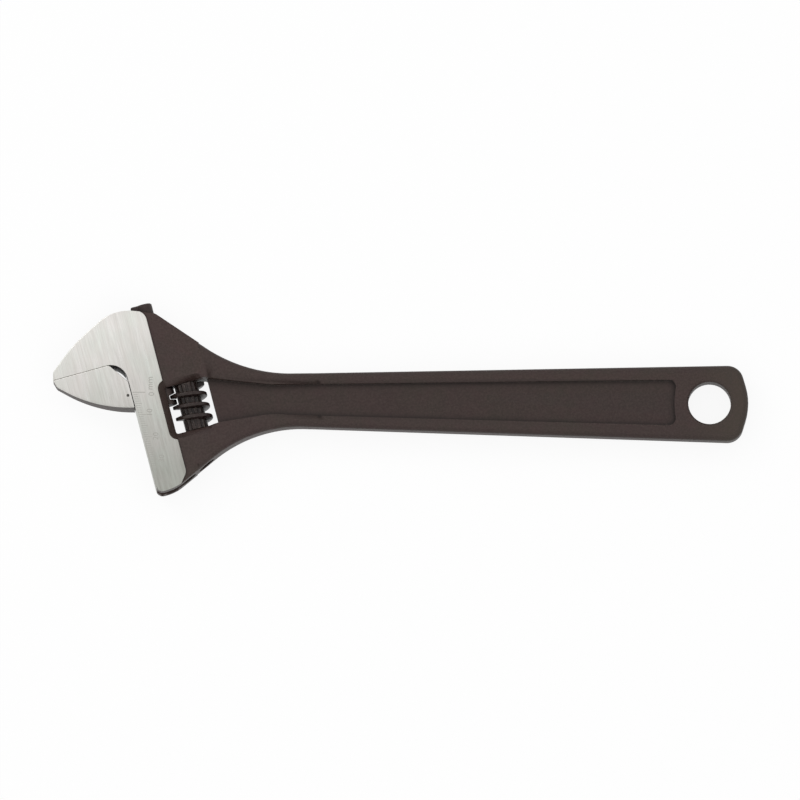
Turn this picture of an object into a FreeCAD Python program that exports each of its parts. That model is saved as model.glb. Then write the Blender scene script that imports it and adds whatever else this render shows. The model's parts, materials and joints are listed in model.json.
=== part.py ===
import FreeCAD, Part
import math
import os
import Sketcher

# Adjustable wrench, 300 mm long. Millimetres, +Z up through the front face.
# The origin is the centre of the hang hole, halfway through the handle, and +X runs along the
# handle away from the jaws.
#
# The head is turned against the handle by jaw_angle. Its own frame has its corner where the closed
# jaw faces meet the edge of the head: x runs from the jaw tips towards the handle, and y runs from
# the movable jaw towards the fixed jaw, so the movable jaw opens along -y.

SIZES = [
    # whole wrench
    ("jaw_angle", 15, "turn of the head against the handle, degrees"),
    ("head_x", 252.4, "hang hole to head corner along the handle"),
    ("head_y", 15.6, "hang hole to head corner across the handle"),
    ("head_thickness", 16.5, "thickness over the polished faces"),
    # handle
    ("handle_width_end", 32.4, "handle width at the hang hole"),
    ("handle_width_neck", 23.6, "handle width at the neck"),
    ("neck_x", 170, "hang hole to neck"),
    ("handle_thickness", 10, "handle thickness over the rims"),
    ("handle_end", 16.6, "hang hole to the end of the handle"),
    ("end_radius", 25, "radius of the handle's end"),
    ("end_corner", 7, "radius of the end's two corners"),
    ("end_slope", 17, "slope of the end beside its middle, degrees"),
    ("edge_radius", 2.2, "rounding of the forging's outer edges"),
    ("hole_diameter", 18.4, "hang hole"),
    ("hole_chamfer", 0.8, "chamfer of the hang hole"),
    # sunken panel of the handle
    ("web_thickness", 5.8, "thickness left between the two panels"),
    ("rim_neck", 4.8, "rim beside the panel at the neck"),
    ("rim_end", 5.8, "rim beside the panel at the hang hole"),
    ("panel_end", 15.9, "hang hole to the end of the panel"),
    ("panel_bow", 2.0, "how far the panel's end is hollowed"),
    ("panel_waist_x", 189, "hang hole to the panel's narrowest place"),
    ("panel_overlap", 0.8, "how far the panel runs into the knurl window"),
    # head outline, in the head's frame
    ("jaw_reach", 31.2, "head corner to the jaw tips"),
    ("throat_radius", 7.6, "hollow between the fixed jaw and the head's edge"),
    ("tip_height", 3.5, "height of the fixed jaw's tip"),
    ("tip_setback", 0.9, "lean of the jaw tips"),
    ("tip_radius", 2.5, "rounding of the jaw tips"),
    ("shoulder_x", 19.3, "fixed jaw shoulder, from the head corner"),
    ("shoulder_y", 12.4, "fixed jaw shoulder, from the jaw faces"),
    ("shoulder_radius", 60, "curve of the fixed jaw's shoulder"),
    ("crown_x", 1.6, "crown of the head, from the head corner"),
    ("crown_y", 23.2, "crown of the head, from the jaw faces"),
    ("crown_radius", 20, "curve of the crown"),
    ("brow_x", 18.4, "corner above the window, from the head corner"),
    ("brow_y", 16.9, "corner above the window, from the jaw faces"),
    ("brow_radius", 4, "rounding of that corner"),
    ("upper_neck_x", 200.3, "hang hole to the upper neck corner"),
    ("upper_neck_radius", 65, "hollow of the upper neck"),
    ("lower_neck_x", 196, "hang hole to the lower neck corner"),
    ("lower_neck_radius", 58, "hollow of the lower neck"),
    ("head_length", 59, "jaw faces to the bottom of the head"),
    ("chin_x", 8.1, "corner of the head's bottom, from the head corner"),
    ("chin_radius", 20, "curve of that corner"),
    ("heel_radius", 3, "rounding under the scale strip"),
    # thickness of the head
    ("strip_width", 14.3, "polished strip beside the movable jaw"),
    ("strip_head", 17.2, "jaw faces to the strip's upper corner"),
    ("strip_head_angle", 45, "lean of the strip's edge above that corner, degrees"),
    ("strip_foot", 53.6, "jaw faces to the strip's lower corner"),
    ("strip_foot_angle", 40, "lean of the strip's edge below that corner, degrees"),
    ("strip_corner", 4.5, "rounding of the strip's two corners"),
    ("forging_relief", 0.8, "how far the forged faces lie below the polished ones"),
    ("taper_start_x", 216, "hang hole to where the head starts to thin"),
    ("taper_end_x", 168, "hang hole to where the handle thickness is reached"),
    ("taper_radius", 120, "curve at both ends of that taper"),
    ("taper_lead_in", 4, "level stretch before the head starts to thin"),
    ("jaw_taper_x", 2, "head corner to where the jaws start to thin"),
    ("jaw_tip_thickness", 9, "thickness of the jaws at their tips"),
    ("jaw_taper_radius", 60, "curve where the jaws start to thin"),
    # knurl window
    ("window_left", 14.4, "window's edge beside the rail"),
    ("window_right", 33.2, "window's edge beside the handle"),
    ("window_top", 15.2, "jaw faces to the window"),
    ("window_bottom", 36, "jaw faces to the window's far end"),
    ("window_corner", 1, "corner radius of the window"),
    ("flare_depth", 3.6, "depth of the window's flared edge"),
    ("flare_angle", 42, "slope of the flared edge, degrees"),
    # rail and rack
    ("rail_x", 14.5, "head corner to the middle of the rail"),
    ("rail_diameter", 7.4, "rail"),
    ("fin_x", 8.9, "head corner to the edge of the fin along the rail"),
    ("rail_clearance", 0.08, "running clearance around the rail"),
    ("rail_top", 22.6, "rail above the jaw faces"),
    ("rail_bottom", 22.6, "rail below the jaw faces"),
    ("rail_chamfer", 0.5, "chamfer of the rail's top end"),
    ("rack_depth", 2.7, "depth of the rack's gaps"),
    ("neck_thickness", 5, "neck between the rail and the jaw block"),
    ("neck_clearance", 0.15, "clearance on each side of the neck"),
    ("neck_end_clearance", 0.6, "slot above the neck when the jaws are closed"),
    # movable jaw, in the head's frame
    ("jaw_gap", 0.04, "gap between the closed jaw faces"),
    ("strip_gap", 0.25, "gap between the movable jaw and the strip"),
    ("throat_chamfer", 9.0, "height of the movable jaw's throat chamfer"),
    ("throat_chamfer_x", 6.4, "width of that chamfer"),
    ("throat_corner", 2, "rounding between that chamfer and the jaw face"),
    ("movable_tip_height", 3.3, "height of the movable jaw's tip"),
    ("belly_x", 15.7, "belly of the movable jaw, from the head corner"),
    ("belly_y", 17, "belly of the movable jaw, from the jaw faces"),
    ("belly_radius", 58, "curve of the belly"),
    ("root_height", 20.6, "height of the movable jaw beside the strip"),
    # knurl
    ("knurl_x", 23.7, "head corner to the knurl's axis"),
    ("knurl_diameter", 15.8, "over the thread"),
    ("core_diameter", 10.2, "under the thread"),
    ("knurl_end_gap", 0.15, "gap between the knurl and each end of the window"),
    ("thread_lead", 5, "jaw travel for each turn of the knurl"),
    ("thread_crest", 1.4, "width of the thread at its top"),
    ("thread_base", 2.6, "width of the thread at the core"),
    ("thread_turns", 3.25, "turns of thread on the knurl"),
    ("thread_phase", 24.2, "jaw faces to a thread ridge beside the rack"),
    ("mesh_clearance", 0.25, "gap between thread and rack on each flank"),
    ("flute_count", 12, "grip flutes around the core"),
    ("flute_radius", 0.9, "radius of a flute"),
    ("flute_depth", 0.5, "depth of a flute"),
    # pin
    ("pin_diameter", 4.4, "part of the pin that the knurl turns on"),
    ("pin_clearance", 0.05, "running clearance of the knurl on the pin"),
    ("seat_clearance", 0.03, "clearance of the pin in the head"),
    ("pin_top", 7.3, "jaw faces to the pin's blind end"),
    ("pin_end_gap", 0.3, "gap past the pin's blind end"),
    ("screw_diameter", 6.2, "threaded end of the pin"),
    ("screw_length", 8.4, "threaded end of the pin"),
    ("screw_end", 49.8, "jaw faces to the pin's outer end"),
    ("spotface_diameter", 7.4, "spot face around the pin's outer end"),
    ("spotface_y", 49.4, "jaw faces to the spot face"),
    ("slot_width", 1, "screwdriver slot"),
    ("slot_depth", 1.2, "screwdriver slot"),
    # spring
    ("spring_radius", 3.15, "middle of the spring's wire"),
    ("spring_wire", 0.8, "wire diameter"),
    ("spring_pitch", 1.05, "rise of each coil"),
    ("spring_turns", 3.2, "number of coils"),
    ("spring_seat_gap", 0.03, "gap at the spring's seats"),
    ("counterbore_radius", 3.9, "seat of the spring in the knurl"),
]


def fill_sheet(doc):
    """Put every driving size in the sheet: name, value and note, with the name as alias."""
    sheet = doc.addObject("Spreadsheet::Sheet", "Dims")
    for row, (name, value, note) in enumerate(SIZES, start=1):
        sheet.set(f"A{row}", name)
        sheet.set(f"B{row}", str(value))
        sheet.set(f"C{row}", note)
        sheet.setAlias(f"B{row}", name)
    doc.recompute()
    return sheet


class Sizes:
    """Sizes.name gives the expression that reads that cell of the sheet."""

    def __getattr__(self, name):
        return f"Dims.{name}"


D = Sizes()


# ---------------------------------------------------------------- places and planes

def head_point(x, y):
    """A point of the head's frame, as expressions in the wrench's frame."""
    across = f"(-{D.head_x} + ({x}) * cos({D.jaw_angle}) - ({y}) * sin({D.jaw_angle}))"
    along = f"({D.head_y} + ({x}) * sin({D.jaw_angle}) + ({y}) * cos({D.jaw_angle}))"
    return across, along


def head_plane(x="0", y="0", z="0"):
    """The head's front-view plane: sketch x and y are the head's own."""
    px, py = head_point(x, y)
    return f"placement(vector({px}; {py}; {z}); rotation({D.jaw_angle}; 0; 0))"


def slide_plane(y="0"):
    """The plane square to the jaw's slide at height y: sketch x is the head's x, sketch y is Z."""
    px, py = head_point("0", y)
    return f"placement(vector({px}; {py}; 0); rotation({D.jaw_angle}; 0; 90))"


def level_plane(z="0"):
    """The wrench's own front-view plane at height z."""
    return f"placement(vector(0; 0; {z}); rotation(0; 0; 0))"


SIDE_PLANE = "placement(vector(0; 0; 0); rotation(0; 0; 90))"


def local_slide_plane(y="0"):
    """The plane square to the slide, for a body that is drawn in the head's frame."""
    return f"placement(vector(0; {y}; 0); rotation(0; 0; 90))"


def origin_feature(body, role):
    """One of the body's own origin planes or axes."""
    return next(f for f in body.Origin.OriginFeatures if f.Role == role)


def new_sketch(body, name, placement):
    """A sketch on the body's own XY plane, moved by the placement expression."""
    sketch = body.newObject("Sketcher::SketchObject", name)
    sketch.AttachmentSupport = [(origin_feature(body, "XY_Plane"), "")]
    sketch.MapMode = "FlatFace"
    sketch.setExpression("AttachmentOffset", placement)
    return sketch


# ---------------------------------------------------------------- sketch outlines

def value_of(sketch, expression):
    """The present value of an expression or number."""
    return float(sketch.evalExpression(str(expression)))


def drive(sketch, constraint, expression):
    """Add a dimension and bind it to the sheet."""
    index = sketch.addConstraint(constraint)
    sketch.setExpression(f"Constraints[{index}]", str(expression))


def drive_point(sketch, item, end, corner):
    """Fix a sketch point at a pair of expressions."""
    x, y = value_of(sketch, corner[0]), value_of(sketch, corner[1])
    drive(sketch, Sketcher.Constraint("DistanceX", item, end, x), corner[0])
    drive(sketch, Sketcher.Constraint("DistanceY", item, end, y), corner[1])


def rounded_corner(before, corner, after, radius):
    """Centre, two tangent points and turn of the arc that rounds a corner."""
    back = (before - corner).normalize()
    ahead = (after - corner).normalize()
    half = back.getAngle(ahead) / 2
    reach = radius / math.tan(half)
    middle = (back + ahead).normalize() * (radius / math.sin(half)) + corner
    turn = back.cross(ahead).z
    return middle, corner + back * reach, corner + ahead * reach, turn


def outline(sketch, corners):
    """A closed outline: corners are (x, y) or (x, y, radius), and every size is an expression."""
    count = len(corners)
    points = [FreeCAD.Vector(value_of(sketch, c[0]), value_of(sketch, c[1]), 0) for c in corners]
    starts, ends, arcs = [], [], []
    for i, corner in enumerate(corners):
        if len(corner) == 2:
            starts.append(points[i])
            ends.append(points[i])
            arcs.append(None)
            continue
        radius = value_of(sketch, corner[2])
        middle, first, last, turn = rounded_corner(
            points[i - 1], points[i], points[(i + 1) % count], radius)
        starts.append(last)
        ends.append(first)
        arcs.append((middle, first, last, turn, radius))
    lines = []
    for i in range(count):
        line = Part.LineSegment(starts[i], ends[(i + 1) % count])
        lines.append(sketch.addGeometry(line))
    for i, corner in enumerate(corners):
        before, after = lines[i - 1], lines[i]
        if arcs[i] is None:
            sketch.addConstraint(Sketcher.Constraint("Coincident", before, 2, after, 1))
            drive_point(sketch, after, 1, corner)
            continue
        add_corner_arc(sketch, before, after, corner, points[i], arcs[i])


def add_corner_arc(sketch, before, after, corner, point, arc):
    """Round one corner between two lines, and tie the lines to the sharp corner."""
    middle, first, last, turn, radius = arc
    angles = [math.atan2(p.y - middle.y, p.x - middle.x) for p in (first, last)]
    if turn > 0:
        angles.reverse()
    circle = Part.Circle(middle, FreeCAD.Vector(0, 0, 1), radius)
    item = sketch.addGeometry(Part.ArcOfCircle(circle, angles[0], angles[1]))
    first_end, last_end = (2, 1) if turn > 0 else (1, 2)
    sharp = sketch.addGeometry(Part.Point(point), True)
    drive_point(sketch, sharp, 1, corner)
    sketch.addConstraint(Sketcher.Constraint("PointOnObject", sharp, 1, before))
    sketch.addConstraint(Sketcher.Constraint("PointOnObject", sharp, 1, after))
    sketch.addConstraint(Sketcher.Constraint("Tangent", before, 2, item, first_end))
    sketch.addConstraint(Sketcher.Constraint("Tangent", item, last_end, after, 1))
    drive(sketch, Sketcher.Constraint("Radius", item, radius), corner[2])


def circle_outline(sketch, x, y, radius):
    """A driven circle."""
    centre = FreeCAD.Vector(value_of(sketch, x), value_of(sketch, y), 0)
    size = value_of(sketch, radius)
    item = sketch.addGeometry(Part.Circle(centre, FreeCAD.Vector(0, 0, 1), size))
    drive_point(sketch, item, 3, (x, y))
    drive(sketch, Sketcher.Constraint("Radius", item, size), radius)


def mirrored_outlines(sketch, corners):
    """The same outline above and below the sketch's x axis."""
    outline(sketch, corners)
    below = [(c[0], f"-({c[1]})") + tuple(c[2:]) for c in reversed(corners)]
    outline(sketch, below)


# ---------------------------------------------------------------- features

def feature(body, kind, name, sketch, **settings):
    """Add a sketch-based feature; settings given as text are bound as expressions."""
    item = body.newObject(f"PartDesign::{kind}", name)
    item.Profile = sketch
    for key, value in settings.items():
        if key in ("SideType", "Type", "Mode"):
            setattr(item, key, value)
        elif isinstance(value, str):
            item.setExpression(key, value)
        else:
            setattr(item, key, value)
    body.Tip = item
    return item


def checked_cut(doc, body, cut):
    """Recompute, and make sure that the cut took material away."""
    before = cut.BaseFeature.Shape.Volume
    doc.recompute()
    if not cut.Shape.Volume < before - 0.01:
        raise RuntimeError(f"{cut.Name} in {body.Name} removes nothing")
    return cut


def break_edges(body, doc, kind, name, size, test):
    """Fillet or chamfer every edge of the body so far whose points all pass the test."""
    base = body.Tip
    item = body.newObject(f"PartDesign::{kind}", name)
    item.Base = (base, edges_where(base.Shape, test))
    item.setExpression("Radius" if kind == "Fillet" else "Size", size)
    body.Tip = item
    doc.recompute()


def edges_where(shape, test):
    """Names of the edges whose points all pass the test."""
    names = []
    for number, edge in enumerate(shape.Edges, start=1):
        samples = [edge.valueAt(p) for p in edge_samples(edge)]
        if all(test(point) for point in samples):
            names.append(f"Edge{number}")
    return names


def edge_samples(edge):
    """Three parameters along an edge."""
    first, last = edge.FirstParameter, edge.LastParameter
    return [first + (last - first) * share for share in (0.1, 0.5, 0.9)]


# ---------------------------------------------------------------- shared profiles

FAR = "60"          # past the outside of every thickness and depth


def jaw_taper(body, doc, placement):
    """Thin both faces of a jaw towards its tip."""
    sketch = new_sketch(body, "jaw_taper_profile", placement)
    half = f"{D.head_thickness} / 2"
    tip = f"{D.jaw_tip_thickness} / 2"
    start = f"-{D.jaw_taper_x}"
    slope = f"(({half} - {tip}) / ({D.jaw_reach} - {D.jaw_taper_x}))"
    past = "5"
    mirrored_outlines(sketch, [
        (start, half, D.jaw_taper_radius),
        (f"-({D.jaw_reach} + {past})", f"{tip} - {slope} * {past}"),
        (f"-({D.jaw_reach} + {past})", FAR),
        ("30", FAR),
        ("30", half),
    ])
    checked_cut(doc, body, feature(body, "Pocket", "jaw_taper", sketch,
                                   Type="ThroughAll", SideType="Symmetric"))


def fit_circle(body, doc, name, placement, x, radius, depth=None):
    """A round hole along the slide, from the placement's plane away from the fixed jaw."""
    sketch = new_sketch(body, f"{name}_profile", placement)
    circle_outline(sketch, x, "0", radius)
    cut = feature(body, "Pocket", name, sketch, Reversed=True)
    if depth is None:
        cut.Type = "ThroughAll"
    else:
        cut.setExpression("Length", depth)
    checked_cut(doc, body, cut)


# ---------------------------------------------------------------- body

def handle_edge(x):
    """Half the handle's width at x, which is negative towards the neck."""
    half_end = f"({D.handle_width_end} / 2)"
    slope = f"(({D.handle_width_end} - {D.handle_width_neck}) / 2 / {D.neck_x})"
    return f"({half_end} + ({x}) * {slope})"


def body_outline(body):
    """Front-view outline of the forging, anticlockwise from the fixed jaw's tip."""
    sketch = new_sketch(body, "forging_outline", level_plane())
    half_end = f"({D.end_radius} * (1 / cos({D.end_slope}) - 1))"
    end_point = f"({D.handle_end} + {half_end})"
    end_corner_x = f"({end_point} - {D.handle_width_end} / 2 * tan({D.end_slope}))"
    corners = [
        head_point("0", "0") + (D.throat_radius,),
        head_point("0", f"-{D.head_length}") + (D.heel_radius,),
        head_point(D.chin_x, f"-{D.head_length}") + (D.chin_radius,),
        (f"-{D.lower_neck_x}", f"-{handle_edge('-' + D.lower_neck_x)}", D.lower_neck_radius),
        (end_corner_x, f"-{handle_edge(end_corner_x)}", D.end_corner),
        (end_point, "0", D.end_radius),
        (end_corner_x, handle_edge(end_corner_x), D.end_corner),
        (f"-{D.upper_neck_x}", handle_edge("-" + D.upper_neck_x), D.upper_neck_radius),
        head_point(D.brow_x, D.brow_y) + (D.brow_radius,),
        head_point(f"{D.crown_x}", D.crown_y) + (D.crown_radius,),
        head_point(f"-{D.shoulder_x}", D.shoulder_y) + (D.shoulder_radius,),
        head_point(f"-{D.jaw_reach} + {D.tip_setback}", D.tip_height) + (D.tip_radius,),
        head_point(f"-{D.jaw_reach}", "0"),
    ]
    outline(sketch, corners)
    return sketch


def thin_forging(body, doc):
    """Taper the head into the thinner handle."""
    black = f"({D.head_thickness} / 2 - {D.forging_relief})"
    rim = f"({D.handle_thickness} / 2)"
    taper = new_sketch(body, "taper_profile", SIDE_PLANE)
    mirrored_outlines(taper, [
        (f"-({D.taper_start_x} + {D.taper_lead_in})", FAR),
        (f"-({D.taper_start_x} + {D.taper_lead_in})", black),
        (f"-{D.taper_start_x}", black, D.taper_radius),
        (f"-{D.taper_end_x}", rim, D.taper_radius),
        ("60", rim),
        ("60", FAR),
    ])
    checked_cut(doc, body, feature(body, "Pocket", "handle_taper", taper,
                                   Type="ThroughAll", SideType="Symmetric"))


def lower_forging(body, doc):
    """Lower the forged faces below the polished ones, which end in a strip with rounded corners."""
    black = f"({D.head_thickness} / 2 - {D.forging_relief})"
    past = D.head_length
    edge = [
        (f"{D.strip_width} - {past} * tan({D.strip_foot_angle})", f"-({D.strip_foot} + {past})"),
        (D.strip_width, f"-{D.strip_foot}", D.strip_corner),
        (D.strip_width, D.strip_head, D.strip_corner),
        (f"{D.strip_width} - {past} * tan({D.strip_head_angle})", f"{D.strip_head} + {past}"),
        ("320", f"{D.strip_head} + {past}"),
        ("320", f"-({D.strip_foot} + {past})"),
    ]
    for side, sign in (("front", ""), ("back", "-")):
        relief = new_sketch(body, f"{side}_relief_outline", head_plane(z=f"{sign}{black}"))
        outline(relief, edge)
        checked_cut(doc, body, feature(body, "Pocket", f"{side}_relief", relief,
                                       Type="ThroughAll", Reversed=side == "front"))


def round_forging(body, doc):
    """Round the outer edges of the handle."""
    rim = value_of(body, f"{D.handle_thickness} / 2")
    break_edges(body, doc, "Fillet", "outer_rounding", D.edge_radius,
                lambda p: abs(abs(p.z) - rim) < 0.001)


def sunken_panels(body, doc):
    """The long panel in each face of the handle, open to the knurl window."""
    half_neck = f"({handle_edge('-' + D.panel_waist_x)} - {D.rim_neck})"
    half_end = f"({handle_edge('-' + D.panel_end)} - {D.rim_end})"
    window_edge = f"({D.window_right} - {D.panel_overlap})"
    tuck = "0.2"
    corners = [
        head_point(window_edge, f"-({D.window_bottom} - {tuck})"),
        (f"-{D.panel_waist_x}", f"-{half_neck}", "40"),
        (f"-{D.panel_end} + {D.panel_bow}", f"-{half_end}", "3"),
        (f"-{D.panel_end}", "0", "38"),
        (f"-{D.panel_end} + {D.panel_bow}", half_end, "3"),
        (f"-{D.panel_waist_x}", half_neck, "40"),
        head_point(window_edge, f"-({D.window_top} + {tuck})"),
    ]
    for side, sign in (("front", ""), ("back", "-")):
        sketch = new_sketch(body, f"{side}_panel_outline", level_plane(f"{sign}{D.web_thickness} / 2"))
        outline(sketch, corners)
        checked_cut(doc, body, feature(body, "Pocket", f"{side}_panel", sketch,
                                       Type="ThroughAll", Reversed=side == "front"))


def knurl_window(body, doc):
    """The window through the head, and its flared edge on both faces."""
    opening = new_sketch(body, "window_outline", head_plane())
    outline(opening, window_corners(D.window_right))
    checked_cut(doc, body, feature(body, "Pocket", "window", opening,
                                   Type="ThroughAll", SideType="Symmetric"))
    depth = f"({D.head_thickness} / 2 - {D.flare_depth})"
    right = f"({D.window_right} - {D.flare_depth} * tan({D.flare_angle}) - {D.panel_overlap})"
    for side, sign in (("front", ""), ("back", "-")):
        sketch = new_sketch(body, f"{side}_flare_outline", head_plane(z=f"{sign}{depth}"))
        outline(sketch, window_corners(right))
        checked_cut(doc, body, feature(body, "Pocket", f"{side}_flare", sketch,
                                       Length=D.flare_depth, TaperAngle=D.flare_angle,
                                       Reversed=side == "front"))


def window_corners(right):
    """Four rounded corners of the window, up to the given right edge."""
    left, top, bottom = D.window_left, f"-{D.window_top}", f"-{D.window_bottom}"
    return [
        (left, bottom, D.window_corner),
        (right, bottom, D.window_corner),
        (right, top, D.window_corner),
        (left, top, D.window_corner),
    ]


def rail_channel(body, doc):
    """The round channel for the rail, and the slot that lets the jaw's neck out of it."""
    bore = new_sketch(body, "channel_profile", slide_plane())
    circle_outline(bore, D.rail_x, "0", f"{D.rail_diameter} / 2 + {D.rail_clearance}")
    checked_cut(doc, body, feature(body, "Pocket", "channel", bore,
                                   Type="ThroughAll", SideType="Symmetric"))
    half = f"({D.neck_thickness} / 2 + {D.neck_clearance})"
    groove = new_sketch(body, "fin_groove_profile", slide_plane())
    outline(groove, rail_side_strip(f"({D.fin_x} - {D.neck_clearance})", half))
    checked_cut(doc, body, feature(body, "Pocket", "fin_groove", groove,
                                   Type="ThroughAll", SideType="Symmetric"))
    slot_top = f"-({D.throat_chamfer} + {D.strip_gap} - {D.neck_end_clearance})"
    slot = new_sketch(body, "slot_profile", slide_plane(slot_top))
    outline(slot, rail_side_strip("-5", half))
    checked_cut(doc, body, feature(body, "Pocket", "neck_slot", slot,
                                   Type="ThroughAll", Reversed=True))


def rail_side_strip(left, half):
    """A strip from the left edge to the middle of the rail, seen along the slide."""
    return [(left, f"-{half}"), (D.rail_x, f"-{half}"), (D.rail_x, half), (left, half)]


def pin_holes(body, doc):
    """The blind hole for the pin, the hole for its threaded end, and the spot face around it."""
    blind_end = f"-({D.pin_top} - {D.pin_end_gap})"
    screw_start = f"-({D.screw_end} - {D.screw_length} - {D.seat_clearance})"
    seat = D.seat_clearance
    fit_circle(body, doc, "pin_hole", slide_plane(blind_end), D.knurl_x,
               f"{D.pin_diameter} / 2 + {seat}")
    fit_circle(body, doc, "screw_hole", slide_plane(screw_start), D.knurl_x,
               f"{D.screw_diameter} / 2 + {seat}")
    fit_circle(body, doc, "spot_face", slide_plane(f"-{D.spotface_y}"), D.knurl_x,
               f"{D.spotface_diameter} / 2")


def hang_hole(body, doc):
    """The chamfered hole at the end of the handle."""
    sketch = new_sketch(body, "hang_hole_outline", level_plane())
    circle_outline(sketch, "0", "0", f"{D.hole_diameter} / 2")
    checked_cut(doc, body, feature(body, "Pocket", "hang_hole", sketch,
                                   Type="ThroughAll", SideType="Symmetric"))
    radius = value_of(body, f"{D.hole_diameter} / 2")
    rim = value_of(body, f"{D.handle_thickness} / 2")
    break_edges(body, doc, "Chamfer", "hang_hole_chamfer", D.hole_chamfer,
                lambda p: abs(math.hypot(p.x, p.y) - radius) < 0.001 and abs(abs(p.z) - rim) < 0.001)


def make_body(doc):
    """The forging: fixed jaw, head, handle and hang hole."""
    body = doc.addObject("PartDesign::Body", "body")
    feature(body, "Pad", "forging", body_outline(body), Length=D.head_thickness, SideType="Symmetric")
    doc.recompute()
    thin_forging(body, doc)
    round_forging(body, doc)
    lower_forging(body, doc)
    jaw_taper(body, doc, slide_plane())
    sunken_panels(body, doc)
    knurl_window(body, doc)
    rail_channel(body, doc)
    pin_holes(body, doc)
    hang_hole(body, doc)
    return body


# ---------------------------------------------------------------- movable jaw

def jaw_block(jaw):
    """Front-view outline of the movable jaw, in the head's frame."""
    sketch = new_sketch(jaw, "block_outline", level_plane())
    face = f"-{D.jaw_gap}"
    edge = f"-{D.strip_gap}"
    outline(sketch, [
        (f"-{D.jaw_reach}", face),
        (f"-{D.jaw_reach} + {D.tip_setback}", f"-{D.movable_tip_height}", D.tip_radius),
        (f"-{D.belly_x}", f"-{D.belly_y}", D.belly_radius),
        (edge, f"-{D.root_height}"),
        (edge, f"-{D.throat_chamfer}"),
        (f"-{D.throat_chamfer_x}", face, D.throat_corner),
    ])
    return sketch


def rack_gap_half(x):
    """Half the width of a rack gap at x: the thread's flank there and the mesh clearance."""
    slope = f"(({D.thread_base} - {D.thread_crest}) / ({D.knurl_diameter} - {D.core_diameter}))"
    thread_left = f"({D.knurl_x} - {D.knurl_diameter} / 2)"
    return f"({D.thread_crest} / 2 + {D.mesh_clearance} + (({x}) - {thread_left}) * {slope})"


def cut_rack(jaw, doc):
    """Gaps across the rail that follow the knurl's thread, one lead apart, short of the rail's top."""
    tip = f"({D.rail_x} + {D.rail_diameter} / 2)"
    mesh_radius = f"({D.knurl_x} - ({tip} + {D.knurl_x} - {D.knurl_diameter} / 2) / 2)"
    lean = f"atan({D.thread_lead} / (2 * pi * {mesh_radius}))"
    first = f"({D.thread_phase} - {D.thread_lead})"
    plane = f"placement(vector(0; -{first}; 0); rotation(0; 0; {lean}))"
    sketch = new_sketch(jaw, "rack_gap_outline", plane)
    root = f"({tip} - {D.rack_depth})"
    outer = f"({tip} + 1)"
    outline(sketch, [
        (root, f"-{rack_gap_half(root)}"),
        (outer, f"-{rack_gap_half(outer)}"),
        (outer, rack_gap_half(outer)),
        (root, rack_gap_half(root)),
    ])
    gap = feature(jaw, "Pocket", "rack_gap", sketch, Type="ThroughAll", SideType="Symmetric")
    checked_cut(doc, jaw, gap)
    rack = jaw.newObject("PartDesign::LinearPattern", "rack")
    rack.Originals = [gap]
    rack.Direction = (origin_feature(jaw, "Y_Axis"), [""])
    count = f"floor(({D.rail_top} + {first}) / {D.thread_lead})"
    rack.setExpression("Occurrences", count)
    rack.setExpression("Length", f"({count} - 1) * {D.thread_lead}")
    jaw.Tip = rack
    doc.recompute()


def make_movable_jaw(doc):
    """Jaw block, neck and rail in one piece, drawn in the head's frame and then placed."""
    jaw = doc.addObject("PartDesign::Body", "movable_jaw")
    jaw.setExpression("Placement", head_plane())
    feature(jaw, "Pad", "block", jaw_block(jaw), Length=D.head_thickness, SideType="Symmetric")
    doc.recompute()
    jaw_taper(jaw, doc, local_slide_plane())
    neck = new_sketch(jaw, "neck_outline", level_plane())
    neck_top = f"-({D.throat_chamfer} + {D.strip_gap})"
    neck_bottom = f"-({D.root_height} - {D.strip_gap})"
    outline(neck, [
        ("-1", neck_bottom),
        (D.rail_x, neck_bottom),
        (D.rail_x, neck_top),
        ("-1", neck_top),
    ])
    feature(jaw, "Pad", "neck", neck, Length=D.neck_thickness, SideType="Symmetric")
    length = f"{D.rail_top} + {D.rail_bottom}"
    fin = new_sketch(jaw, "fin_profile", local_slide_plane(D.rail_top))
    outline(fin, rail_side_strip(D.fin_x, f"({D.neck_thickness} / 2)"))
    feature(jaw, "Pad", "fin", fin, Length=length)
    rail = new_sketch(jaw, "rail_profile", local_slide_plane(D.rail_top))
    circle_outline(rail, D.rail_x, "0", f"{D.rail_diameter} / 2")
    feature(jaw, "Pad", "rail", rail, Length=length)
    doc.recompute()
    top = value_of(jaw, D.rail_top)
    break_edges(jaw, doc, "Chamfer", "rail_chamfer", D.rail_chamfer, lambda p: abs(p.y - top) < 0.001)
    cut_rack(jaw, doc)
    return jaw


# ---------------------------------------------------------------- knurl, pin and spring

def on_knurl_axis(distance):
    """Placement on the knurl's axis: local z points away from the fixed jaw."""
    px, py = head_point(D.knurl_x, f"-({distance})")
    return f"placement(vector({px}; {py}; 0); rotation({D.jaw_angle}; 0; 90))"


def disc(body, name, radius, start, length):
    """A round pad along the body's own z."""
    sketch = new_sketch(body, f"{name}_profile", level_plane(start))
    circle_outline(sketch, "0", "0", radius)
    return feature(body, "Pad", name, sketch, Length=length)


def bore(body, doc, name, radius, depth=None):
    """A round hole along the body's own z from its start."""
    sketch = new_sketch(body, f"{name}_profile", level_plane())
    circle_outline(sketch, "0", "0", radius)
    cut = feature(body, "Pocket", name, sketch, Reversed=True)
    if depth is None:
        cut.Type = "ThroughAll"
    else:
        cut.setExpression("Length", depth)
    checked_cut(doc, body, cut)


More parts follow.
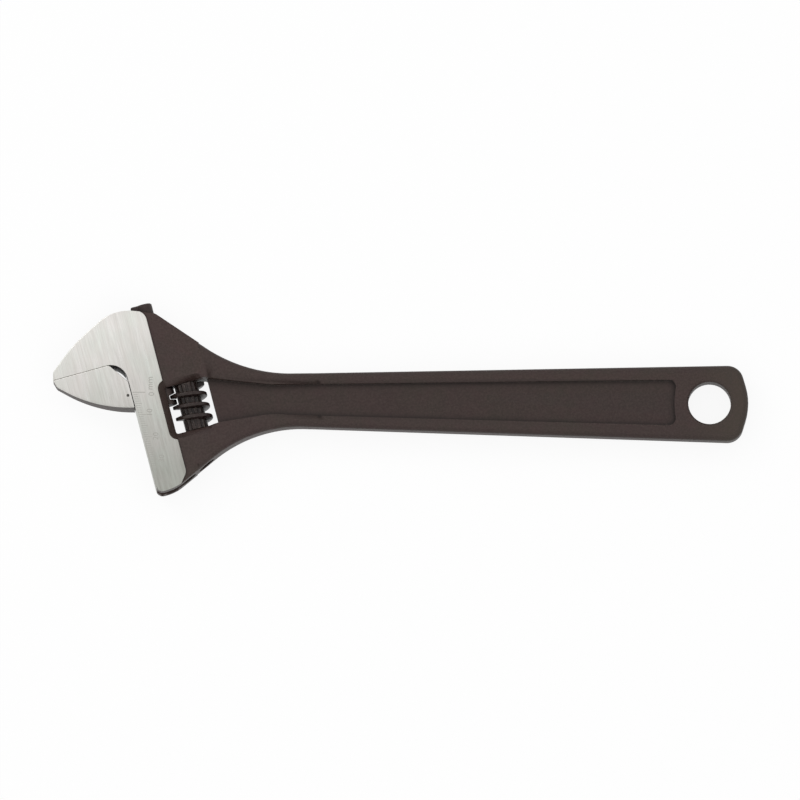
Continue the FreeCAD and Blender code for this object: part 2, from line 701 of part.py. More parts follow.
def cut_flutes(knurl, doc):
    """Shallow grip flutes along the core."""
    sketch = new_sketch(knurl, "flute_profile", level_plane())
    reach = f"({D.core_diameter} / 2 + {D.flute_radius} - {D.flute_depth})"
    circle_outline(sketch, reach, "0", D.flute_radius)
    flute = feature(knurl, "Pocket", "flute", sketch, Type="ThroughAll", Reversed=True)
    checked_cut(doc, knurl, flute)
    flutes = knurl.newObject("PartDesign::PolarPattern", "flutes")
    flutes.Originals = [flute]
    flutes.Axis = (origin_feature(knurl, "Z_Axis"), [""])
    flutes.Angle = 360
    flutes.setExpression("Occurrences", D.flute_count)
    knurl.Tip = flutes
    doc.recompute()


def add_thread(knurl, doc, knurl_top):
    """Left-hand thread: it starts on the handle side, and a ridge faces the rack at thread_phase."""
    half_turn = f"{D.thread_lead} / 2"
    turns_above = f"floor(({D.thread_phase} + {half_turn} - {knurl_top}) / {D.thread_lead})"
    start = f"({D.thread_phase} + {half_turn} - {turns_above} * {D.thread_lead} - {knurl_top})"
    sketch = new_sketch(knurl, "thread_profile", SIDE_PLANE)
    core = f"({D.core_diameter} / 2)"
    crest = f"({D.knurl_diameter} / 2)"
    root = f"({core} - 2 * {D.flute_depth})"
    outline(sketch, [
        (root, f"{start} - {D.thread_base} / 2"),
        (core, f"{start} - {D.thread_base} / 2"),
        (crest, f"{start} - {D.thread_crest} / 2", "0.4"),
        (crest, f"{start} + {D.thread_crest} / 2", "0.4"),
        (core, f"{start} + {D.thread_base} / 2"),
        (root, f"{start} + {D.thread_base} / 2"),
    ])
    thread = feature(knurl, "AdditiveHelix", "thread", sketch, Mode="pitch-turns-angle",
                     LeftHanded=True, Pitch=D.thread_lead, Turns=D.thread_turns)
    thread.ReferenceAxis = (origin_feature(knurl, "Z_Axis"), [""])
    doc.recompute()


def make_knurl(doc):
    """The worm: fluted core, left-hand thread, bore for the pin and seat for the spring."""
    knurl = doc.addObject("PartDesign::Body", "knurl")
    knurl_top = f"({D.window_top} + {D.knurl_end_gap})"
    length = f"({D.window_bottom} - {D.window_top} - 2 * {D.knurl_end_gap})"
    knurl.setExpression("Placement", on_knurl_axis(knurl_top))
    disc(knurl, "core", f"{D.core_diameter} / 2", "0", length)
    doc.recompute()
    cut_flutes(knurl, doc)
    add_thread(knurl, doc, knurl_top)
    bore(knurl, doc, "pin_bore", f"{D.pin_diameter} / 2 + {D.pin_clearance}")
    depth = f"({spring_height()} + 2 * {D.spring_seat_gap} - {D.knurl_end_gap})"
    bore(knurl, doc, "spring_seat", D.counterbore_radius, depth)
    return knurl


def make_pin(doc):
    """The screw that the knurl turns on: plain shank, threaded end and screwdriver slot."""
    pin = doc.addObject("PartDesign::Body", "knurl_pin")
    pin.setExpression("Placement", on_knurl_axis(D.pin_top))
    length = f"({D.screw_end} - {D.pin_top})"
    shank = f"({length} - {D.screw_length})"
    disc(pin, "shank", f"{D.pin_diameter} / 2", "0", shank)
    disc(pin, "screw", f"{D.screw_diameter} / 2", shank, D.screw_length)
    doc.recompute()
    sketch = new_sketch(pin, "slot_outline", level_plane(f"{length}"))
    outline(sketch, [
        ("-8", f"-{D.slot_width} / 2"),
        ("8", f"-{D.slot_width} / 2"),
        ("8", f"{D.slot_width} / 2"),
        ("-8", f"{D.slot_width} / 2"),
    ])
    checked_cut(doc, pin, feature(pin, "Pocket", "screwdriver_slot", sketch, Length=D.slot_depth))
    return pin


def spring_height():
    """Free height of the spring in place, wire included."""
    return f"({D.spring_turns} * {D.spring_pitch} + {D.spring_wire})"


def make_spring(doc):
    """The compression spring between the window's end and its seat in the knurl."""
    spring = doc.addObject("PartDesign::Body", "knurl_spring")
    spring.setExpression("Placement", on_knurl_axis(f"{D.window_top} + {D.spring_seat_gap}"))
    sketch = new_sketch(spring, "wire_profile", SIDE_PLANE)
    circle_outline(sketch, D.spring_radius, f"{D.spring_wire} / 2", f"{D.spring_wire} / 2")
    coil = feature(spring, "AdditiveHelix", "coil", sketch, Mode="pitch-turns-angle",
                   Pitch=D.spring_pitch, Turns=D.spring_turns)
    coil.ReferenceAxis = (origin_feature(spring, "Z_Axis"), [""])
    doc.recompute()
    return spring


# ---------------------------------------------------------------- build and export

def check_document(doc, bodies):
    """Stop if any object failed or any sub-part isn't one valid closed solid."""
    for item in doc.Objects:
        if "Invalid" in item.State or "Error" in item.State:
            raise RuntimeError(f"{item.Name}: {item.State}")
    for body in bodies:
        shape = body.Shape
        if shape.isNull() or not shape.isValid():
            raise RuntimeError(f"{body.Label} has no valid shape")
        if len(shape.Solids) != 1 or not shape.Solids[0].isClosed():
            raise RuntimeError(f"{body.Label} has {len(shape.Solids)} solids")


def main():
    doc = FreeCAD.newDocument("adjustable_wrench")
    fill_sheet(doc)
    bodies = [make_body(doc), make_movable_jaw(doc), make_knurl(doc), make_pin(doc), make_spring(doc)]
    doc.recompute()
    check_document(doc, bodies)
    os.makedirs("parts", exist_ok=True)
    for body in bodies:
        body.Shape.exportStep(f"parts/{body.Label}.step")
        print(f"{body.Label}: {body.Shape.Volume / 1000:.2f} cm3, box {body.Shape.BoundBox}")


main()
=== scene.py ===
"""Adjustable wrench on white, seen almost straight onto its front face."""
import json
import math
import bmesh
import bpy
from mathutils import Matrix, Vector
from mathutils.bvhtree import BVHTree


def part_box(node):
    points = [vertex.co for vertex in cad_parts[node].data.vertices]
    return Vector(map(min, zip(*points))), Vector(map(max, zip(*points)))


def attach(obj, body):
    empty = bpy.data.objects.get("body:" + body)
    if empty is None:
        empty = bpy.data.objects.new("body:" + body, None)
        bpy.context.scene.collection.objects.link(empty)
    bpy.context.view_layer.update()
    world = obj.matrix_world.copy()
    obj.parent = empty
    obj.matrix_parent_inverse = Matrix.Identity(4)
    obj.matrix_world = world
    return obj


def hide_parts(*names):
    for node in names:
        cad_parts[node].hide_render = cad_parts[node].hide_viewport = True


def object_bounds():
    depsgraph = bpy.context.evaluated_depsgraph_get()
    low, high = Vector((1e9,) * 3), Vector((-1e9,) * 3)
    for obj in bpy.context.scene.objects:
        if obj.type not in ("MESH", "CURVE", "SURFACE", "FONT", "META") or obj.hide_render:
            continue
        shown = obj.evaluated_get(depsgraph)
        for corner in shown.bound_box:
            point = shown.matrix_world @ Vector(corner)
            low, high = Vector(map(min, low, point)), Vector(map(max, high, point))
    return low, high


MM = 0.001
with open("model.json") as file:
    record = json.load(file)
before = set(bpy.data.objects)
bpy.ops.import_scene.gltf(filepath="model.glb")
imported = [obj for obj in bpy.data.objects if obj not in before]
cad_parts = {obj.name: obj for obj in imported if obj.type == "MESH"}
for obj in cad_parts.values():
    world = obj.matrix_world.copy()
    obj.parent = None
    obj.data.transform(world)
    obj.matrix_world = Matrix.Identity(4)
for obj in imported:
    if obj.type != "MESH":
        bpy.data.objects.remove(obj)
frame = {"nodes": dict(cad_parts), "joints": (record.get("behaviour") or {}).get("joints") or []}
cad_low, cad_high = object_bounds()
nodes = frame["nodes"]
scene = bpy.context.scene

# ---------------------------------------------------------------- the head's own frame

KNURL_ACROSS = 23.7 * MM        # head corner to the knurl's axis
KNURL_DOWN = 25.6 * MM          # jaw faces to the middle of the knurl
joints = {joint["name"]: joint for joint in frame["joints"]}
slide = Vector(joints["jaw_slide"]["axis"]).normalized()
across = Vector((-slide.y, slide.x, 0))
corner = Vector(joints["knurl_turn"]["pos_m"]) - across * KNURL_ACROSS - slide * KNURL_DOWN
HEAD_TURN = math.atan2(across.y, across.x)
FACE_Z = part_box("body")[1].z    # the head's front face
MIDDLE = (cad_low + cad_high) / 2


def head(x, down, z=0.0):
    """A point from the head corner: x towards the handle, down along the slide."""
    return corner + across * x + slide * down + Vector((0, 0, z))


def in_head(point):
    """x and down of a point, from the head corner."""
    away = point - corner
    return away.dot(across), away.dot(slide)


# ---------------------------------------------------------------- nodes of a material

def feed(tree, socket, value):
    """Give an input a value, or a link from another node's socket."""
    if isinstance(value, bpy.types.NodeSocket):
        tree.links.new(value, socket)
    else:
        socket.default_value = value


def put(tree, kind, links=None, **settings):
    """Add a node; links gives its inputs values or sockets."""
    item = tree.nodes.new(kind)
    for key, value in settings.items():
        setattr(item, key, value)
    for key, value in (links or {}).items():
        feed(tree, item.inputs[key], value)
    return item


def new_material(name, **values):
    """A material whose shader has these fixed values."""
    material = bpy.data.materials.new(name)
    material.use_nodes = True
    tree = material.node_tree
    shader = tree.nodes["Principled BSDF"]
    for key, value in values.items():
        shader.inputs[key.replace("_", " ")].default_value = value
    return material, tree, shader


def place(tree):
    """Coordinates fixed to the object, in metres."""
    return put(tree, "ShaderNodeTexCoord").outputs["Object"]


def axes(tree, spot):
    """The X, Y and Z of a point, as sockets."""
    return put(tree, "ShaderNodeSeparateXYZ", {0: spot}).outputs


def stretched(tree, vector, scale):
    """Coordinates turned into the head's frame and scaled."""
    turn = put(tree, "ShaderNodeMapping", {"Vector": vector, "Rotation": (0, 0, -HEAD_TURN)})
    return put(tree, "ShaderNodeMapping", {"Vector": turn.outputs[0], "Scale": scale}).outputs[0]


def noise(tree, vector, size, detail=3.0, roughness=0.5):
    """Noise whose features are about this size in millimetres, from 0 to 1."""
    item = put(tree, "ShaderNodeTexNoise", {
        "Vector": vector, "Scale": 1 / (size * MM), "Detail": detail, "Roughness": roughness})
    return item.outputs["Fac"]


def spread(tree, value, low, high, start=0.3, end=0.7):
    """The value's range from start to end, spread from low to high and held at both ends."""
    item = put(tree, "ShaderNodeMapRange", {
        "Value": value, "From Min": start, "From Max": end, "To Min": low, "To Max": high})
    return item.outputs["Result"]


MIX_FACTOR, MIX_FIRST, MIX_SECOND, MIX_RESULT = 0, 6, 7, 2      # sockets of a colour mix


def mixed(tree, factor, first, second, mode="MIX"):
    """Two colours mixed by a factor."""
    item = put(tree, "ShaderNodeMix", data_type="RGBA", blend_type=mode)
    for index, value in ((MIX_FACTOR, factor), (MIX_FIRST, first), (MIX_SECOND, second)):
        feed(tree, item.inputs[index], value)
    return item.outputs[MIX_RESULT]


def tinted(tree, colour, factor):
    """A colour multiplied by another colour, or by a value."""
    return mixed(tree, 1.0, colour, factor, "MULTIPLY")


def operation(tree, kind, *values):
    """One operation on values, such as MULTIPLY, MAXIMUM or ABSOLUTE."""
    return put(tree, "ShaderNodeMath", dict(enumerate(values)), operation=kind).outputs[0]


def dot(tree, first, second):
    """The dot product of two vectors."""
    item = put(tree, "ShaderNodeVectorMath", {0: first, 1: second}, operation="DOT_PRODUCT")
    return item.outputs["Value"]


def bumped(tree, height, depth, strength=1.0, normal=None):
    """A normal tilted by a height whose whole range is this deep in millimetres."""
    links = {"Height": height, "Distance": depth * MM, "Strength": strength}
    if normal is not None:
        links["Normal"] = normal
    return put(tree, "ShaderNodeBump", links).outputs[0]


# ---------------------------------------------------------------- phosphate

BROWN = (0.0235, 0.0130, 0.0115, 1)
OLIVE = (0.0225, 0.0155, 0.0115, 1)
PLUM = (0.0300, 0.0140, 0.0140, 1)
ASH = (0.0460, 0.0310, 0.0275, 1)
END_OLIVE = (0.0330, 0.0255, 0.0175, 1)
WEAR_AND_HIGHLIGHT = (0.13, 0.105, 0.09, 1)

# The handle runs along X and the hang hole is at X = 0.
OLIVE_END = (-8 * MM, 12 * MM)              # the tint turns olive around the hang hole
SOFT_END = (-60 * MM, -18 * MM)             # the edges grow softer towards the panel's end
SOFT_END_ROUNDING = 1.4 * MM                # how soft they are there
HEAD_TO_HANDLE = (-235 * MM, -150 * MM)     # where the head's light shade fades out
WEB_TO_RIM = (3.0 * MM, 4.6 * MM)           # heights between which the panel's painted shade fades out
HEAD_SHADE = 1.14
PANEL_SHADE = 0.84
CREVICE_REACH = 3.5 * MM                    # walls nearer than this darken a crevice with painted shade
CREVICE_SHADE = 0.12
BENT_NORMAL = (0.90, 0.995)                 # soft against face normal: an edge, and a flat face
RAY_SAMPLES = 6


def softness(tree, spot, plain):
    """Rounding of the edges in metres: much softer where the panel runs out at the hang hole."""
    return spread(tree, axes(tree, spot)["X"], plain * MM, SOFT_END_ROUNDING, *SOFT_END)


def panel_shade_and_head_tone(tree, spot):
    """A factor: painted shade that darkens the sunken panels, and a lighter tone over the head."""
    parts = axes(tree, spot)
    height = operation(tree, "ABSOLUTE", parts["Z"])
    # Painted shade: the sunken panels are darker than the rims.
    recess_shade = spread(tree, height, PANEL_SHADE, 1.0, *WEB_TO_RIM)
    over_head = spread(tree, parts["X"], HEAD_SHADE, 1.0, *HEAD_TO_HANDLE)
    return operation(tree, "MULTIPLY", recess_shade, over_head)


def phosphate_tint(tree, spot, grain, shade):
    """Clouds of brown, olive and plum with ash-grey grain, with painted shade in the sunken panels
    and crevices and a lighter tone over the head.
    """
    cloud = noise(tree, spot, size=26, detail=2)
    patch = noise(tree, spot, size=5.5)
    end = axes(tree, spot)["X"]
    tint = mixed(tree, spread(tree, cloud, 0, 1, start=0.35, end=0.65), BROWN, OLIVE)
    tint = mixed(tree, spread(tree, patch, 0, 0.5, start=0.40, end=0.68), tint, PLUM)
    tint = mixed(tree, spread(tree, end, 0, 0.8, *OLIVE_END), tint, END_OLIVE)
    tint = mixed(tree, spread(tree, grain, 0, 0.8, start=0.40, end=0.68), tint, ASH)
    tint = tinted(tree, tint, panel_shade_and_head_tone(tree, spot))
    # Painted shade: ambient occlusion darkens crevices, the knurl's thread roots and the window's
    # surround.
    open_air = put(tree, "ShaderNodeAmbientOcclusion", {"Distance": CREVICE_REACH},
                   samples=RAY_SAMPLES).outputs["AO"]
    tint = tinted(tree, tint, spread(tree, open_air, CREVICE_SHADE, 1.0, start=0.25, end=0.85))
    # A shade below 1 gives a darker copy of the same phosphate: painted shade.
    return tinted(tree, tint, (shade, shade, shade, 1))


def phosphate(name, roughness, rounding, wear_and_highlight, shade=1.0):
    """Brown-black phosphate on forged steel: cloudy tint, fine grain, soft edges lightened partly
    as wear and partly as painted highlight.
    """
    material, tree, shader = new_material(name, Specular_IOR_Level=0.3)
    spot = place(tree)
    grain = noise(tree, spot, size=0.85, detail=5, roughness=0.7)
    swell = noise(tree, spot, size=2.6, detail=2)
    tint = phosphate_tint(tree, spot, grain, shade)
    soft = put(tree, "ShaderNodeBevel", {"Radius": softness(tree, spot, rounding)},
               samples=RAY_SAMPLES).outputs[0]
    face = put(tree, "ShaderNodeNewGeometry").outputs["Normal"]
    # Edges lightened in grain spots: wear on the forging, and painted highlight on the knurl's
    # flutes where it is strong.
    rub_and_highlight = spread(tree, grain, 0.0, wear_and_highlight, start=0.44, end=0.60)
    on_edge = spread(tree, dot(tree, soft, face), 1, 0, *BENT_NORMAL)
    edge_wear_and_highlight = operation(tree, "MULTIPLY", on_edge, rub_and_highlight)
    feed(tree, shader.inputs["Base Color"], mixed(tree, edge_wear_and_highlight, tint, WEAR_AND_HIGHLIGHT))
    feed(tree, shader.inputs["Roughness"], spread(tree, grain, roughness - 0.07, roughness + 0.1))
    normal = bumped(tree, swell, depth=0.06, strength=0.6, normal=soft)
    normal = bumped(tree, grain, depth=0.02, strength=0.5, normal=normal)
    feed(tree, shader.inputs["Normal"], normal)
    return material


# ---------------------------------------------------------------- bare steel

GREY_WARM = (0.72, 0.69, 0.665, 1)
GREY_GREEN = (0.665, 0.685, 0.635, 1)
GREY_DARK = (0.50, 0.49, 0.465, 1)
GREY_BROWN = (0.54, 0.505, 0.465, 1)
STREAK = (0.44, 0.42, 0.38, 1)
JAW_PAINTED_LIGHT = (1.18, 1.18, 1.19, 1)
FOOT_PAINTED_SHADE = (0.635, 0.65, 0.635, 1)
WIRE_DARK = (0.34, 0.33, 0.31, 1)
WIRE_LIGHT = (0.5, 0.48, 0.45, 1)
MARK_DARK = (0.30, 0.295, 0.27, 1)
MARK_LIGHT = (0.42, 0.41, 0.38, 1)
INK_DARK = (0.045, 0.042, 0.038, 1)
INK_LIGHT = (0.09, 0.085, 0.08, 1)
FINE_LINES = (1, 0.04, 1)       # coordinates shrunk along the slide, which draws noise out there
WIDE_LINES = (1, 0.035, 1)
STREAKS = (1, 0.12, 1)
STEEL_LIGHT_END = -15 * MM      # along the slide from the jaw faces, half way up the fixed jaw
STEEL_DARK_END = 50 * MM        # and near the foot of the scale strip


def down_slide(tree, spot):
    """0 on the upper part of the fixed jaw, rising to 1 near the foot of the scale strip: the mask
    of the painted light and shade along the slide, which also keeps the streaks low.
    """
    down = dot(tree, spot, tuple(slide))
    faces = corner.dot(slide)
    return spread(tree, down, 0, 1, faces + STEEL_LIGHT_END, faces + STEEL_DARK_END)


def ground_steel(name):
    """Ground and polished steel: fine lines along the slide, faint warm and green tints, streaks
    low on the strip, painted light on the jaw and painted shade towards the foot of the strip.
    """
    material, tree, shader = new_material(name, Metallic=1.0)
    spot = place(tree)
    fine = noise(tree, stretched(tree, spot, FINE_LINES), size=0.32, detail=4, roughness=0.65)
    wide = noise(tree, stretched(tree, spot, WIDE_LINES), size=1.1)
    streak = noise(tree, stretched(tree, spot, STREAKS), size=1.5, roughness=0.6)
    cloud = noise(tree, spot, size=13, detail=2)
    down = down_slide(tree, spot)
    tint = mixed(tree, spread(tree, cloud, 0, 1, start=0.35, end=0.65), GREY_WARM, GREY_GREEN)
    tint = mixed(tree, spread(tree, wide, 0, 0.5, start=0.35, end=0.7), tint, GREY_BROWN)
    tint = mixed(tree, spread(tree, fine, 0, 0.65, start=0.35, end=0.7), tint, GREY_DARK)
    streaked = spread(tree, streak, 0, 0.45, start=0.45, end=0.68)
    tint = mixed(tree, operation(tree, "MULTIPLY", down, streaked), tint, STREAK)
    # Painted reflection: lighter on the fixed jaw, darker towards the strip's foot, where the
    # lamps' reflection fades.
    tint = tinted(tree, tint, mixed(tree, down, JAW_PAINTED_LIGHT, FOOT_PAINTED_SHADE))
    feed(tree, shader.inputs["Base Color"], tint)
    feed(tree, shader.inputs["Roughness"], spread(tree, wide, 0.26, 0.4))
    normal = bumped(tree, wide, depth=0.006, strength=0.5)
    normal = bumped(tree, fine, depth=0.002, strength=0.6, normal=normal)
    feed(tree, shader.inputs["Normal"], normal)
    return material


def mottled(name, metallic, size, colours, roughness):
    """Dull metal with a fine mottle; returns its mottle too."""
    material, tree, shader = new_material(name, Metallic=metallic)
    mottle = noise(tree, place(tree), size)
    feed(tree, shader.inputs["Base Color"], mixed(tree, mottle, *colours))
    feed(tree, shader.inputs["Roughness"], spread(tree, mottle, *roughness))
    return material, mottle


def spring_wire(name):
    """Drawn spring wire, a little oiled."""
    material, mottle = mottled(name, metallic=1.0, size=0.5, colours=(WIRE_DARK, WIRE_LIGHT),
                               roughness=(0.28, 0.45))
    tree = material.node_tree
    normal = bumped(tree, mottle, depth=0.01)
    feed(tree, tree.nodes["Principled BSDF"].inputs["Normal"], normal)
    return material


def etched(name, dark, light):
    """The dull floor of an engraved mark."""
    return mottled(name, metallic=0.6, size=0.3, colours=(dark, light), roughness=(0.5, 0.75))[0]


black = phosphate("phosphate_forging", roughness=0.50, rounding=0.5, wear_and_highlight=0.25)
# The knurl: a darker copy of the phosphate as painted shade in the window, with strongly lightened
# edges as painted highlight on its flutes.
dark = phosphate("phosphate_knurl", roughness=0.30, rounding=0.6, wear_and_highlight=1.0, shade=0.6)
polished = ground_steel("ground_steel")
wire = spring_wire("spring_wire")
engraving = etched("engraving", MARK_DARK, MARK_LIGHT)
ink = etched("index_ink", INK_DARK, INK_LIGHT)

# ---------------------------------------------------------------- rounded copies of the CAD solids

SAME_POINT = 0.002 * MM
FLAT = math.radians(0.6)        # faces that meet at less than this are joined
SHARP = math.radians(28)        # edges above this are rounded
SHADED_SHARP = math.radians(38)
STRAY = 0.36 * MM               # a bevel leaves the CAD surface by less than this
BEVEL_SEGMENTS = 3
BLACK, GROUND = 0, 1            # material numbers on the rounded copies
LEVEL = 0.97                    # least part of a level face's normal along Z,
ALONG_SLIDE = 0.99              # of a gripping face's along the slide,
ACROSS_SLIDE = 0.95             # and of the slide wall's across it
FACE_SLACK = 0.1 * MM           # a face this near the front is in it
LINE_SLACK = 0.5 * MM           # and this near the jaw faces or the slide wall
GRIP_X = -3 * MM                # the jaws grip beyond this x
BODY_ROUNDING = 0.3 * MM
JAW_ROUNDING = 0.35 * MM
BELLY_ROUNDING = 0.8 * MM
STRIP_SIDE = -1.0 * MM          # x from which the jaw's edges lie close beside the strip
BELLY_TOP = 1.5 * MM            # down from which the jaw's outer edges are belly
THROAT_X = -9 * MM              # x beyond which they are clear of the throat
THROAT_FOOT = 12 * MM           # or down beyond which they are


def joined_copy(node):
    """The CAD mesh of a node, with the triangles of its flat faces joined."""
    mesh = bmesh.new()
    mesh.from_mesh(nodes[node].data)
    bmesh.ops.remove_doubles(mesh, verts=mesh.verts, dist=SAME_POINT)
    bmesh.ops.dissolve_limit(mesh, angle_limit=FLAT, verts=mesh.verts,
                             edges=mesh.edges, delimit={"NORMAL"})
    return mesh


def weigh_edges(mesh, edge_width):
    """Write the rounding of the sharp edges as bevel weights; returns the widest rounding."""
    weights = mesh.edges.layers.float.new("bevel_weight_edge")
    widest = 0.0
    for edge in mesh.edges:
        if edge.is_manifold and edge.calc_face_angle() > SHARP:
            edge[weights] = edge_width(edge)
            widest = max(widest, edge[weights])
    for edge in mesh.edges:
        edge[weights] /= widest
    return widest


def linked(name, data):
    """A new object in the scene."""
    item = bpy.data.objects.new(name, data)
    scene.collection.objects.link(item)
    return item


def evaluated(item):
    """A mesh of an object with its modifiers, or of a curve."""
    graph = bpy.context.evaluated_depsgraph_get()
    return bpy.data.meshes.new_from_object(item.evaluated_get(graph))


def pull_in_strays(mesh, surface):
    """Put back on the CAD surface every point that a bevel threw off it."""
    for vertex in mesh.vertices:
        near, _, _, distance = surface.find_nearest(vertex.co)
        if distance > STRAY:
            vertex.co = near


def rounded_copy(name, node, face_material, edge_width):
    """A copy of a CAD node in black and ground steel, with sharp edges rounded."""
    mesh = joined_copy(node)
    surface = BVHTree.FromBMesh(mesh)
    for face in mesh.faces:
        face.material_index = face_material(face)
    widest = weigh_edges(mesh, edge_width)
    rough = bpy.data.meshes.new(name)
    mesh.to_mesh(rough)
    mesh.free()
    piece = linked(name, rough)
    rough.materials.append(black)
    rough.materials.append(polished)
    bevel = piece.modifiers.new("rounding", "BEVEL")
    bevel.limit_method = "WEIGHT"
    bevel.width = widest
    bevel.segments = BEVEL_SEGMENTS
    bevel.material = GROUND
    bevel.use_clamp_overlap = False
    done = evaluated(piece)
    piece.modifiers.clear()
    piece.data = done
    pull_in_strays(done, surface)
    done.shade_smooth()
    done.set_sharp_from_angle(angle=SHADED_SHARP)
    flat = piece.modifiers.new("flat_faces", "WEIGHTED_NORMAL")
    flat.keep_sharp = True
    return piece


def is_ground_level(face):
    """True on the forging's level ground faces: the strip, and the fixed jaw."""
    middle = face.calc_center_median()
    on_top = abs(middle.z) > FACE_Z - FACE_SLACK
    return abs(face.normal.z) > LEVEL and (on_top or in_head(middle)[0] < -LINE_SLACK)


def is_grip(face):
    """True on a jaw's gripping face."""
    x, down = in_head(face.calc_center_median())
    square = abs(face.normal.dot(slide)) > ALONG_SLIDE
    return square and x < GRIP_X and abs(down) < LINE_SLACK


def is_slide_wall(face):
    """True on the head's edge that the movable jaw runs along."""
    x, down = in_head(face.calc_center_median())
    return face.normal.dot(across) < -ACROSS_SLIDE and abs(x) < LINE_SLACK and down > 0


def body_face(face):
    """BLACK or GROUND, for a face of the forging."""
    return int(is_ground_level(face) or is_grip(face) or is_slide_wall(face))


def jaw_face(face):
    """BLACK or GROUND, for a face of the movable jaw."""
    in_front = in_head(face.calc_center_median())[0] < 0
    return int((abs(face.normal.z) > LEVEL and in_front) or is_grip(face))


def is_black_edge(edge):
    """True between two black faces; the black material softens these without rounding."""
    return max(face.material_index for face in edge.link_faces) == BLACK


def body_edge(edge):
    """Width of the rounding of one of the forging's edges."""
    return 0.0 if is_black_edge(edge) else BODY_ROUNDING


def jaw_edge(edge):
    """Width of the rounding of one of the movable jaw's edges."""
    x, down = in_head((edge.verts[0].co + edge.verts[1].co) / 2)
    if x > STRIP_SIDE or is_black_edge(edge):
        return 0.0
    clear_of_throat = x < THROAT_X or down > THROAT_FOOT
    on_belly = edge.is_convex and down > BELLY_TOP and clear_of_throat
    return BELLY_ROUNDING if on_belly else JAW_ROUNDING


forging = rounded_copy("forging", "body", body_face, body_edge)
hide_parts("body")
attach(forging, "frame")

sliding_jaw = rounded_copy("sliding_jaw", "movable_jaw", jaw_face, jaw_edge)
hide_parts("movable_jaw")
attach(sliding_jaw, "jaw")

for name, material in (("knurl", dark), ("knurl_pin", dark), ("knurl_spring", wire)):
    nodes[name].data.materials.clear()
    nodes[name].data.materials.append(material)

# ---------------------------------------------------------------- engraved scale and index mark

PROUD = 0.012 * MM              # marks stand this far off the face, so that they show
MARK_DEPTH = 0.1 * MM           # and go this far in
ZERO_DOWN = 14.1 * MM           # jaw faces to the zero line
MARK_LEFT = 0.6 * MM            # head corner to the left ends of the marks
LAST_MARK = 34
ZERO_MARK = (5.4 * MM, 0.3 * MM)            # length and width of the zero line
MARK_WIDTH = 0.2 * MM
MARK_LENGTHS = ((10, 3.4 * MM), (5, 2.7 * MM), (1, 1.9 * MM))   # every tenth, fifth, each
DIGIT_SIZE = 3.4 * MM
UNIT_SIZE = 3.8 * MM
LABELS = (                      # text, x from the head corner, down from the zero line, size
    ("10", 5.5 * MM, 10.4 * MM, DIGIT_SIZE),
    ("20", 5.5 * MM, 21.0 * MM, DIGIT_SIZE),
    ("30", 5.5 * MM, 31.0 * MM, DIGIT_SIZE),
    ("mm", 8.8 * MM, -1.9 * MM, UNIT_SIZE),
    ("0", 8.3 * MM, 2.8 * MM, DIGIT_SIZE),
)
INDEX_X = -1.7 * MM
INDEX_DOWN = 14.9 * MM
INDEX_FOOT = 0.65 * MM          # its radii
INDEX_TOP = 0.6 * MM
INDEX_SIDES = 32


def mark_bar(mesh, down, length, width):
    """One engraved line along the handle's direction, from the left of the strip."""
    corners = []
    for z in (FACE_Z - MARK_DEPTH, FACE_Z + PROUD):
        for a, b in ((0, -0.5), (1, -0.5), (1, 0.5), (0, 0.5)):
            start = head(MARK_LEFT, down, z)
            corners.append(mesh.verts.new(start + Vector((a * length, b * width, 0))))
    mesh.faces.new(corners[3::-1])
    mesh.faces.new(corners[4:])
    for i in range(4):
        j = (i + 1) % 4
        mesh.faces.new((corners[i], corners[j], corners[4 + j], corners[4 + i]))


def label(mesh, text, x, down, size):
    """Lettering that reads upwards when the handle points right."""
    curve = bpy.data.curves.new("label", "FONT")
    curve.body = text
    curve.size = size
    curve.align_x = "CENTER"
    curve.align_y = "CENTER"
    curve.extrude = (PROUD + MARK_DEPTH) / 2
    item = linked("label", curve)
    shape = evaluated(item)
    turn = Matrix.Rotation(math.radians(90), 4, "Z")
    shape.transform(Matrix.Translation(head(x, down, FACE_Z + (PROUD - MARK_DEPTH) / 2)) @ turn)
    mesh.from_mesh(shape)
    bpy.data.objects.remove(item)
    bpy.data.curves.remove(curve)
    bpy.data.meshes.remove(shape)


def piece_from(mesh, name, material, body):
    """An object from a mesh, riding on a body."""
    bmesh.ops.recalc_face_normals(mesh, faces=mesh.faces)
    data = bpy.data.meshes.new(name)
    mesh.to_mesh(data)
    mesh.free()
    data.materials.append(material)
    piece = linked(name, data)
    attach(piece, body)


def mark_length(number):
    """Length of the mark at this number of millimetres."""
    return next(length for every, length in MARK_LENGTHS if number % every == 0)


def make_scale():
    """Millimetre lines from 0 to 34 with their numbers."""
    mesh = bmesh.new()
    mark_bar(mesh, ZERO_DOWN, *ZERO_MARK)
    for number in range(1, LAST_MARK + 1):
        mark_bar(mesh, ZERO_DOWN + number * MM, mark_length(number), MARK_WIDTH)
    for text, x, down, size in LABELS:
        label(mesh, text, x, ZERO_DOWN + down, size)
    piece_from(mesh, "scale_marks", engraving, "frame")


def make_index():
    """The round index mark on the movable jaw."""
    mesh = bmesh.new()
    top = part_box("movable_jaw")[1].z
    spot = Matrix.Translation(head(INDEX_X, INDEX_DOWN, top - MARK_DEPTH))
    bmesh.ops.create_cone(mesh, cap_ends=True, segments=INDEX_SIDES, radius1=INDEX_FOOT,
                          radius2=INDEX_TOP, depth=2 * (MARK_DEPTH + PROUD), matrix=spot)
    piece_from(mesh, "index_mark", ink, "jaw")


make_scale()
make_index()

# ---------------------------------------------------------------- floor, light and camera

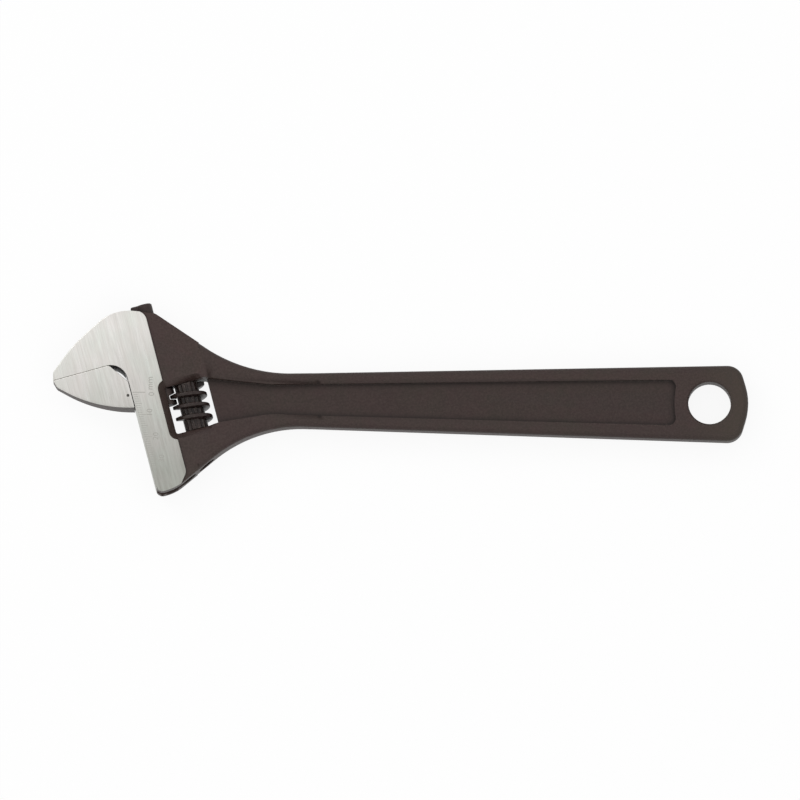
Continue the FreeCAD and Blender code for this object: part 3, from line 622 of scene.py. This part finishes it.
WORLD_LEVEL = 0.2
FLOOR_WHITENESS = 0.9
FLOOR_COLOUR = (0.9, 0.9, 0.9, 1)
FLOOR_HALF = 5.0
ELEVATION = math.radians(81.5)
ROLL = math.radians(0.444)
SENSOR = 36.0
LENS = 900.0
DISTANCE = 8.608
VIEW_SHIFT = (-0.25 * MM, 0.22 * MM)
NEAR, FAR = 0.1, 50


def seen_directly(tree, low, high):
    """One value for light paths, another for what the camera, gloss and glass show."""
    path = put(tree, "ShaderNodeLightPath").outputs
    seen = path["Is Camera Ray"]
    for name in ("Is Glossy Ray", "Is Transmission Ray"):
        seen = operation(tree, "MAXIMUM", seen, path[name])
    return spread(tree, seen, low, high, 0.0, 1.0)


def make_world():
    """Even light, and plain white where it is seen."""
    world = bpy.data.worlds.new("studio")
    scene.world = world
    world.use_nodes = True
    tree = world.node_tree
    background = tree.nodes["Background"]
    background.inputs["Color"].default_value = (1, 1, 1, 1)
    feed(tree, background.inputs["Strength"], seen_directly(tree, WORLD_LEVEL, 1.0))


def make_floor():
    """A plain white floor under the wrench."""
    size = FLOOR_HALF
    z = cad_low.z
    data = bpy.data.meshes.new("floor")
    data.from_pydata([(-size, -size, z), (size, -size, z), (size, size, z), (-size, size, z)],
                     [], [(0, 1, 2, 3)])
    floor = linked("floor", data)
    material, tree, shader = new_material("floor_white", Roughness=1.0, Specular_IOR_Level=0.0,
                                          Base_Color=FLOOR_COLOUR)
    glow = put(tree, "ShaderNodeEmission")
    blend = put(tree, "ShaderNodeMixShader", {
        0: seen_directly(tree, 0.0, FLOOR_WHITENESS), 1: shader.outputs[0], 2: glow.outputs[0]})
    feed(tree, tree.nodes["Material Output"].inputs["Surface"], blend.outputs[0])
    data.materials.append(material)


def softbox(name, offset, size, radiance, glossy):
    """A square lamp that the camera doesn't see, aimed at the wrench, with this brightness."""
    light = bpy.data.lights.new(name, "AREA")
    light.size = size
    light.energy = radiance * math.pi * size * size
    lamp = linked(name, light)
    lamp.location = MIDDLE + offset
    lamp.rotation_euler = (-offset).to_track_quat("-Z", "Y").to_euler()
    lamp.visible_camera = False
    lamp.visible_glossy = glossy


def make_camera():
    """The photograph's view: from a little below straight on, through a long lens."""
    back = Vector((0, -math.cos(ELEVATION), math.sin(ELEVATION)))
    level = Vector((1, 0, 0))
    rise = back.cross(level)
    right = level * math.cos(ROLL) + rise * math.sin(ROLL)
    up = back.cross(right)
    target = Vector((MIDDLE.x + VIEW_SHIFT[0], MIDDLE.y + VIEW_SHIFT[1], 0))
    data = bpy.data.cameras.new("camera")
    data.sensor_width = SENSOR
    data.lens = LENS
    data.clip_start = NEAR
    data.clip_end = FAR
    camera = linked("camera", data)
    turn = Matrix((right, up, back)).transposed().to_4x4()
    camera.matrix_world = Matrix.Translation(target + back * DISTANCE) @ turn
    scene.camera = camera


make_world()
make_floor()
softbox("overhead", offset=Vector((0, 0, 1.0)), size=3.2, radiance=1.0, glossy=False)
softbox("key", offset=Vector((-1.0, 0.9, 1.1)), size=0.6, radiance=3.0, glossy=True)
make_camera()
scene.view_settings.view_transform = "Standard"
